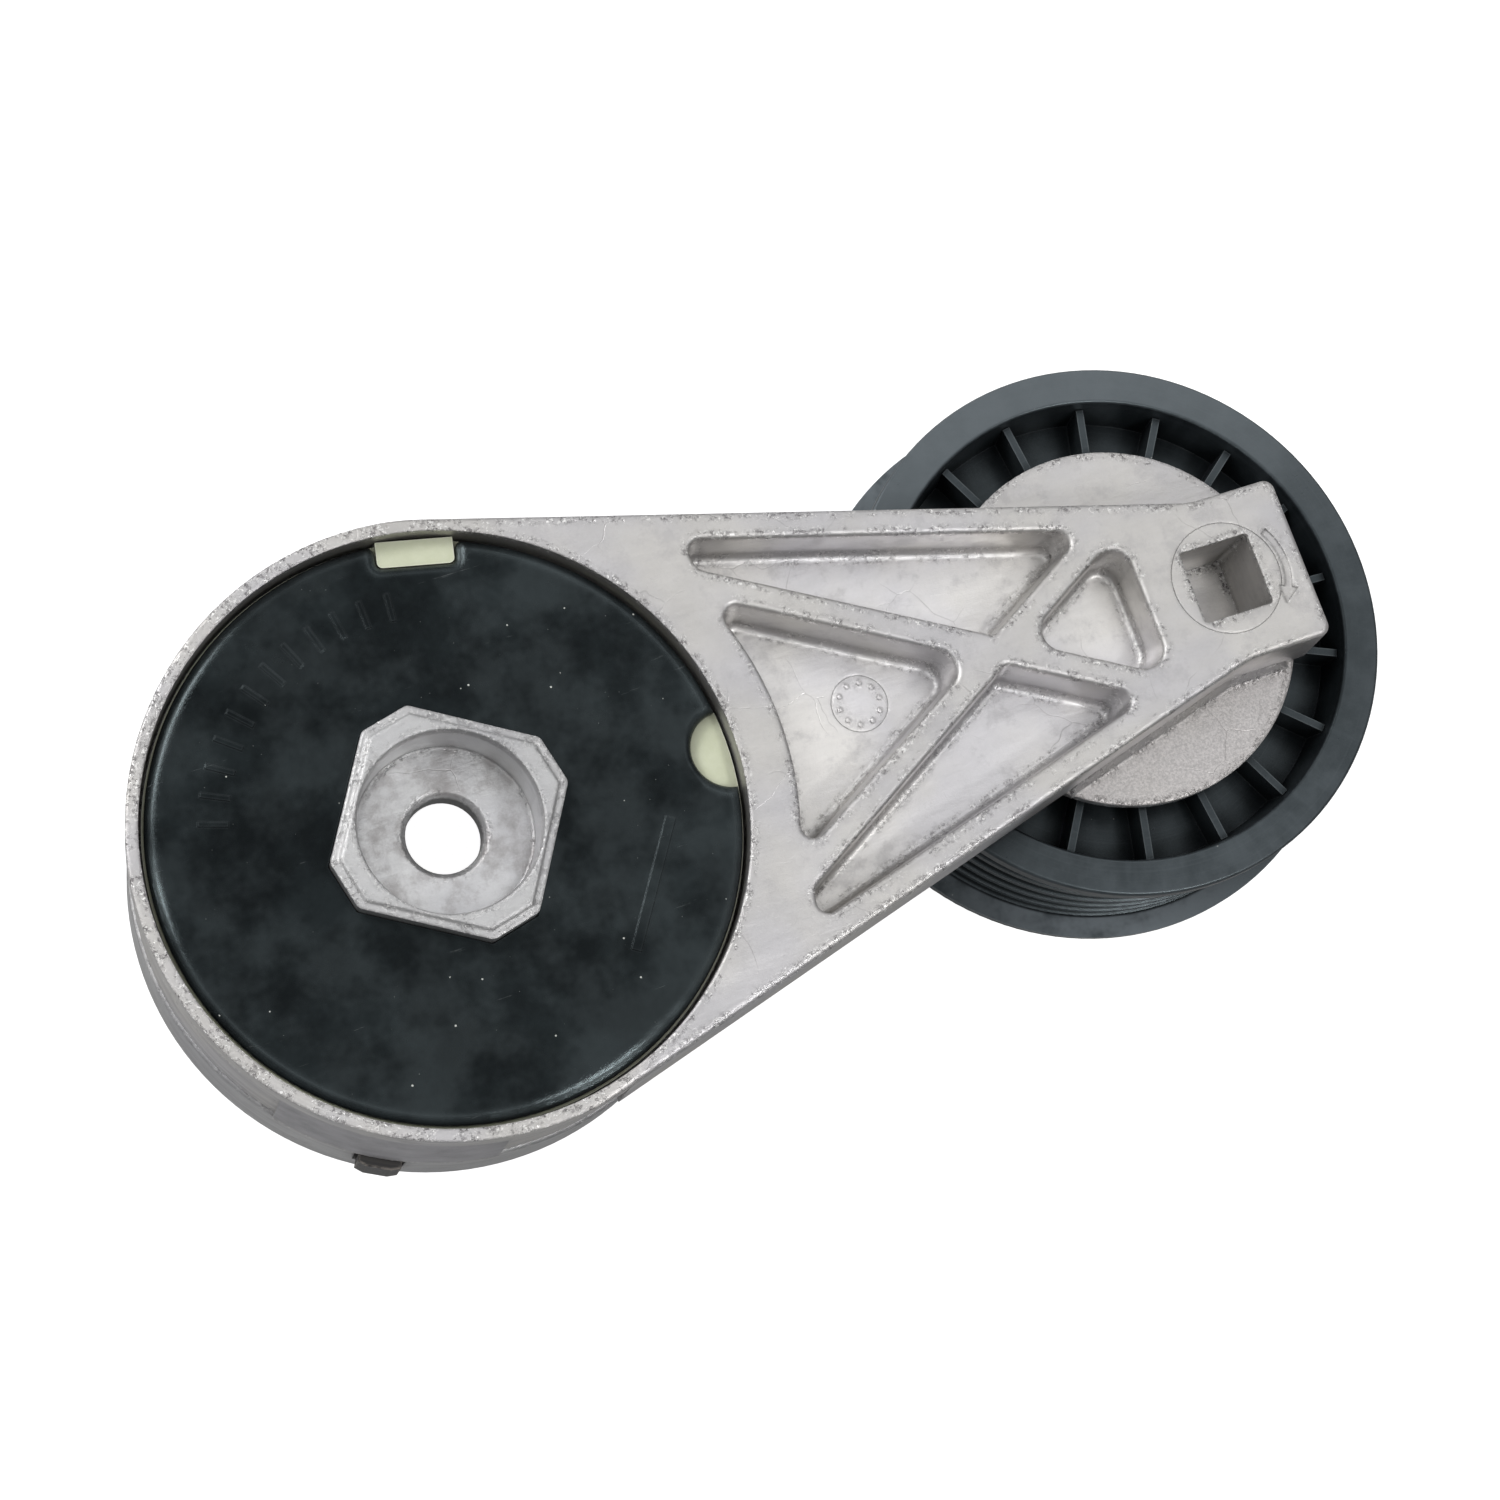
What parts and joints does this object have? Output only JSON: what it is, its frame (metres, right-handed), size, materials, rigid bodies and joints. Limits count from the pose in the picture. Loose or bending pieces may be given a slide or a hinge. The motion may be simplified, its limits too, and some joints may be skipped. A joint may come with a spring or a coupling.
{
  "type": "belt tensioner",
  "caption": "Automatic serpentine-belt tensioner: sprung cast arm with crossed ribs on a round spring case, carrying a grooved idler pulley on a sealed ball bearing.",
  "frame": {"origin": "where the pivot axis (the mounting bolt's axis) meets the base's back face", "axes": "+Z along the pivot axis towards the front (bolt-head side), +X from the pivot axis to the pulley axis with the arm at its free stop, +Y completes a right-handed frame"},
  "size_m": [0.1866, 0.0848, 0.0457],
  "materials": {
    "cast_aluminium": "die-cast, matt grey with flow marks",
    "cast_aluminium_arm": "die-cast, matt grey with worn bright edges",
    "black_plate": "glossy black coat on stamped steel",
    "white_nylon": "pale greenish-white nylon",
    "spring_steel": "blued spring steel",
    "black_spring": "black coated spring steel",
    "bright_steel": "ground steel",
    "pulley_plastic": "blue-black glass-filled nylon, satin",
    "bearing_steel": "ground bearing steel",
    "ball_steel": "polished",
    "cage_steel": "pressed strip",
    "seal_rubber": "black moulded rubber",
    "zinc_steel": "zinc-plated steel"
  },
  "bodies": {
    "base": {"base_housing": "cast_aluminium", "locating_pin": "bright_steel", "front_plate": "black_plate", "damper_ring": "white_nylon", "damper_spring": "spring_steel", "torsion_spring": "black_spring"},
    "arm": {"tensioner_arm": "cast_aluminium_arm", "front_bushing": "white_nylon", "rear_bushing": "white_nylon", "bearing_inner_ring": "bearing_steel", "pulley_bolt": "zinc_steel", "rear_dust_shield": "zinc_steel"},
    "pulley": {"pulley": "pulley_plastic", "bearing_outer_ring": "bearing_steel", "bearing_seal_front": "seal_rubber", "bearing_seal_back": "seal_rubber"},
    "ball_set": {"bearing_balls": "ball_steel", "bearing_cage_front": "cage_steel", "bearing_cage_back": "cage_steel", "cage_rivets": "cage_steel"}
  },
  "joints": [
    {"name": "arm_pivot", "type": "hinge", "parent": "base", "child": "arm", "pos_m": [0, 0, 0.018], "axis": [0, 0, 1], "range_deg": [-50, 0], "deforming": ["torsion_spring"]},
    {"name": "pulley_spin", "type": "hinge", "parent": "arm", "child": "pulley", "pos_m": [0.103, 0, 0.0138], "axis": [0, 0, 1], "continuous": true},
    {"name": "ball_set_spin", "type": "hinge", "parent": "arm", "child": "ball_set", "pos_m": [0.103, 0, 0.0138], "axis": [0, 0, 1], "continuous": true}
  ],
  "couplings": [
    {"joint": "ball_set_spin", "follows": "pulley_spin", "ratio": 0.6182}
  ]
}
